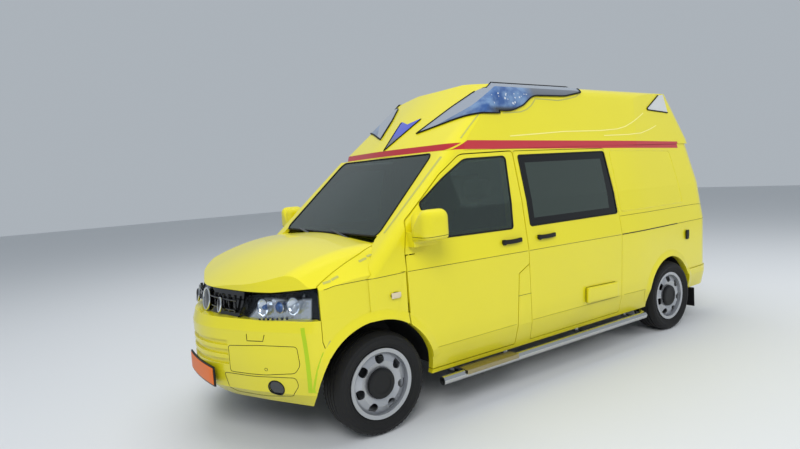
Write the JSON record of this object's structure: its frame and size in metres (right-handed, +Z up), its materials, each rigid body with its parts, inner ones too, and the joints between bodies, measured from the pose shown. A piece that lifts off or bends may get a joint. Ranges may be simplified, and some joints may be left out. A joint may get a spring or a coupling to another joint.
{
  "type": "high-roof van ambulance",
  "caption": "High-roof van ambulance with a rear tailgate, sliding side doors, blue roof lamps and side bars.",
  "frame": {"origin": "on the ground under the middle of the vehicle's overall length and width", "axes": "+X forward, +Y to the vehicle's left, +Z up"},
  "size_m": [5.2691, 2.304, 2.4192],
  "materials": {
    "body_paint": "gloss paint",
    "bumper_paint": "gloss",
    "black_trim": "moulded",
    "lamp_lens": "clear",
    "window_glass": "clear",
    "red_lens": "gloss",
    "roof_paint": "gloss",
    "blue_lens": "gloss",
    "clear_lens": "gloss",
    "underbody": "gloss paint",
    "cab_lining": "moulded",
    "cab_plastic": "moulded",
    "seat_cloth": "woven",
    "engine_metal": "plain",
    "black_steel": "gloss paint",
    "bare_steel": "brushed",
    "stainless": "brushed",
    "rubber_black": "moulded",
    "wheel_silver": "gloss paint",
    "tyre_rubber": "moulded"
  },
  "bodies": {
    "body": {"body_shell": "body_paint", "front_wings": "body_paint", "front_bumper": "bumper_paint", "grille": "black_trim", "headlamps": "lamp_lens", "windscreen": "window_glass", "cowl": "black_trim", "sliding_doors": "body_paint", "sliding_door_windows": "window_glass", "tail_lamps": "red_lens", "rear_bumper": "bumper_paint", "roof": "roof_paint", "roof_pods": "blue_lens", "roof_front_light": "blue_lens", "roof_marker_lamps": "clear_lens", "floor": "underbody", "cab_floor": "underbody", "wheel_housings": "underbody", "rear_header": "body_paint", "bulkhead": "cab_lining", "dashboard": "cab_plastic", "steering_wheel": "cab_plastic", "driver_seat": "seat_cloth", "passenger_seat": "seat_cloth", "engine": "engine_metal", "front_subframe": "black_steel", "rear_axle": "black_steel", "fog_lamps": "clear_lens", "side_bars": "stainless", "mud_flaps": "rubber_black", "exhaust": "bare_steel"},
    "bonnet": {"bonnet": "body_paint"},
    "front_door_left": {"front_door_left": "body_paint", "door_window_left": "window_glass", "mirror_left": "bumper_paint"},
    "front_door_right": {"front_door_right": "body_paint", "door_window_right": "window_glass", "mirror_right": "bumper_paint"},
    "tailgate": {"tailgate": "body_paint", "tailgate_window": "window_glass"},
    "knuckle_left": {"knuckle_left": "bare_steel"},
    "knuckle_right": {"knuckle_right": "bare_steel"},
    "wheel_front_left": {"wheel_front_left": "wheel_silver", "tyre_front_left": "tyre_rubber"},
    "wheel_front_right": {"wheel_front_right": "wheel_silver", "tyre_front_right": "tyre_rubber"},
    "wheel_rear_left": {"wheel_rear_left": "wheel_silver", "tyre_rear_left": "tyre_rubber"},
    "wheel_rear_right": {"wheel_rear_right": "wheel_silver", "tyre_rear_right": "tyre_rubber"}
  },
  "joints": [
    {"name": "bonnet_hinge", "type": "hinge", "parent": "body", "child": "bonnet", "pos_m": [1.631, 0, 1.254], "axis": [0, -1, 0], "range_deg": [0, 50]},
    {"name": "front_door_left_hinge", "type": "hinge", "parent": "body", "child": "front_door_left", "pos_m": [1.48, 0.9284, 0.96], "axis": [0, 0, -1], "range_deg": [0, 68]},
    {"name": "front_door_right_hinge", "type": "hinge", "parent": "body", "child": "front_door_right", "pos_m": [1.48, -0.9284, 0.96], "axis": [0, 0, 1], "range_deg": [0, 68]},
    {"name": "tailgate_hinge", "type": "hinge", "parent": "body", "child": "tailgate", "pos_m": [-2.508, 0, 1.806], "axis": [0, 1, 0], "range_deg": [0, 85]},
    {"name": "steering_left", "type": "hinge", "parent": "body", "child": "knuckle_left", "pos_m": [1.738, 0.735, 0.2], "axis": [0, -0.251, 0.968], "range_deg": [-35, 35]},
    {"name": "steering_right", "type": "hinge", "parent": "body", "child": "knuckle_right", "pos_m": [1.738, -0.735, 0.2], "axis": [0, 0.251, 0.968], "range_deg": [-35, 35]},
    {"name": "wheel_front_left_spin", "type": "hinge", "parent": "knuckle_left", "child": "wheel_front_left", "pos_m": [1.738, 0.814, 0.338], "axis": [0, 1, 0], "continuous": true},
    {"name": "wheel_front_right_spin", "type": "hinge", "parent": "knuckle_right", "child": "wheel_front_right", "pos_m": [1.738, -0.814, 0.338], "axis": [0, 1, 0], "continuous": true},
    {"name": "wheel_rear_left_spin", "type": "hinge", "parent": "body", "child": "wheel_rear_left", "pos_m": [-1.662, 0.814, 0.338], "axis": [0, 1, 0], "continuous": true},
    {"name": "wheel_rear_right_spin", "type": "hinge", "parent": "body", "child": "wheel_rear_right", "pos_m": [-1.662, -0.814, 0.338], "axis": [0, 1, 0], "continuous": true}
  ],
  "couplings": [
    {"joint": "steering_right", "follows": "steering_left", "ratio": 1}
  ]
}
